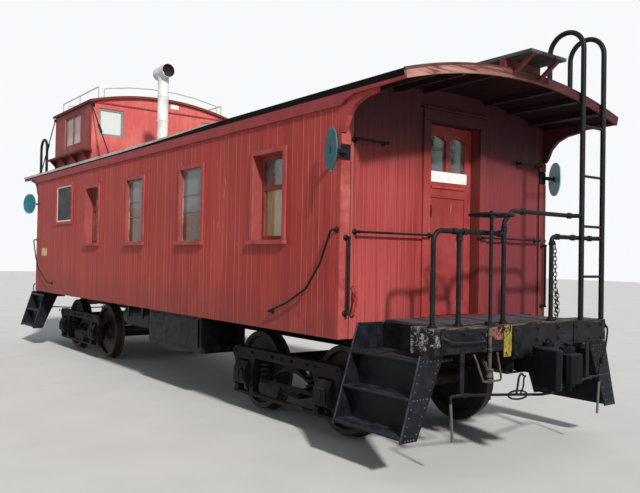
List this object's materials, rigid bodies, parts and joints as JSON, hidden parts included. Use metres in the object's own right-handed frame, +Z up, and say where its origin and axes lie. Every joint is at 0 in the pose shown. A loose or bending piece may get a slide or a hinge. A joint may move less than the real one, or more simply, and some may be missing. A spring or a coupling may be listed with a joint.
{
  "type": "cupola caboose",
  "caption": "Wooden railway caboose with a lookout cupola, open end platforms with steps and ladders, end doors that open, and two swivelling trucks with turning wheelsets.",
  "frame": {"origin": "bottom centre of the whole car, level with the lowest point of the wheel flanges", "axes": "+X runs along the car to the end whose platform the picture shows, +Z is up, and -Y is the long side in the picture"},
  "size_m": [11.2998, 3.1605, 4.4433],
  "materials": {
    "red_paint": "satin",
    "black_iron": "rough",
    "black_paint": "satin",
    "floor_wood": "rough",
    "grey_wood": "rough",
    "beam_wood": "rough",
    "roof_canvas": "matte",
    "window_glass": "gloss",
    "tread_steel": "rough",
    "wheel_steel": "rough",
    "jack_steel": "matte",
    "teal_disc": "gloss",
    "curtain_cloth": "matte"
  },
  "bodies": {
    "car_body": {"air_reservoir": "black_paint", "canopy_framing": "red_paint", "centre_sill": "black_paint", "coupler_knuckles": "black_iron", "couplers": "black_iron", "crossbearers": "floor_wood", "cupola_roof": "roof_canvas", "cupola_stays": "black_paint", "cupola_walls": "red_paint", "curtain": "curtain_cloth", "end_beams": "beam_wood", "end_walls": "red_paint", "floors": "floor_wood", "hand_brakes": "black_paint", "hand_irons": "black_paint", "hinge_leaves": "black_paint", "main_roof": "roof_canvas", "marker_brackets": "black_paint", "marker_discs": "teal_disc", "railings": "black_paint", "roof_end_arches": "red_paint", "roof_ladders": "black_paint", "roof_walk": "grey_wood", "roof_walk_saddles": "red_paint", "side_fascias": "red_paint", "side_sills": "floor_wood", "side_walls": "red_paint", "smoke_jack": "jack_steel", "step_stringers": "black_paint", "step_treads": "tread_steel", "tool_box": "black_paint", "uncoupling_levers": "black_paint", "window_casings": "red_paint", "window_glass": "window_glass", "window_sashes": "red_paint"},
    "front_truck": {"front_truck_bolster": "black_iron", "front_truck_equalizers": "black_iron", "front_truck_frame": "black_iron", "front_truck_journal_boxes": "black_iron", "front_truck_springs": "black_iron"},
    "rear_truck": {"rear_truck_bolster": "black_iron", "rear_truck_equalizers": "black_iron", "rear_truck_frame": "black_iron", "rear_truck_journal_boxes": "black_iron", "rear_truck_springs": "black_iron"},
    "front_door": {"front_door": "red_paint", "front_door_glass": "window_glass", "front_door_hardware": "black_paint"},
    "rear_door": {"rear_door": "red_paint", "rear_door_glass": "window_glass", "rear_door_hardware": "black_paint"},
    "wheelset_1": {"axle_1": "wheel_steel", "wheels_1": "wheel_steel"},
    "wheelset_2": {"axle_2": "wheel_steel", "wheels_2": "wheel_steel"},
    "wheelset_3": {"axle_3": "wheel_steel", "wheels_3": "wheel_steel"},
    "wheelset_4": {"axle_4": "wheel_steel", "wheels_4": "wheel_steel"}
  },
  "joints": [
    {"name": "front_truck_swivel", "type": "hinge", "parent": "car_body", "child": "front_truck", "pos_m": [3.034, 0, 0.71], "axis": [0, 0, 1], "range_deg": [-8, 8]},
    {"name": "rear_truck_swivel", "type": "hinge", "parent": "car_body", "child": "rear_truck", "pos_m": [-3.034, 0, 0.71], "axis": [0, 0, 1], "range_deg": [-8, 8]},
    {"name": "wheelset_1_spin", "type": "hinge", "parent": "front_truck", "child": "wheelset_1", "pos_m": [3.759, 0, 0.444], "axis": [0, 1, 0], "continuous": true},
    {"name": "wheelset_2_spin", "type": "hinge", "parent": "front_truck", "child": "wheelset_2", "pos_m": [2.309, 0, 0.444], "axis": [0, 1, 0], "continuous": true},
    {"name": "wheelset_3_spin", "type": "hinge", "parent": "rear_truck", "child": "wheelset_3", "pos_m": [-2.309, 0, 0.444], "axis": [0, 1, 0], "continuous": true},
    {"name": "wheelset_4_spin", "type": "hinge", "parent": "rear_truck", "child": "wheelset_4", "pos_m": [-3.759, 0, 0.444], "axis": [0, 1, 0], "continuous": true},
    {"name": "front_door_swing", "type": "hinge", "parent": "car_body", "child": "front_door", "pos_m": [4.2, 0.33, 2.04], "axis": [0, 0, -1], "range_deg": [0, 95]},
    {"name": "rear_door_swing", "type": "hinge", "parent": "car_body", "child": "rear_door", "pos_m": [-4.2, -0.33, 2.04], "axis": [0, 0, -1], "range_deg": [0, 95]}
  ]
}
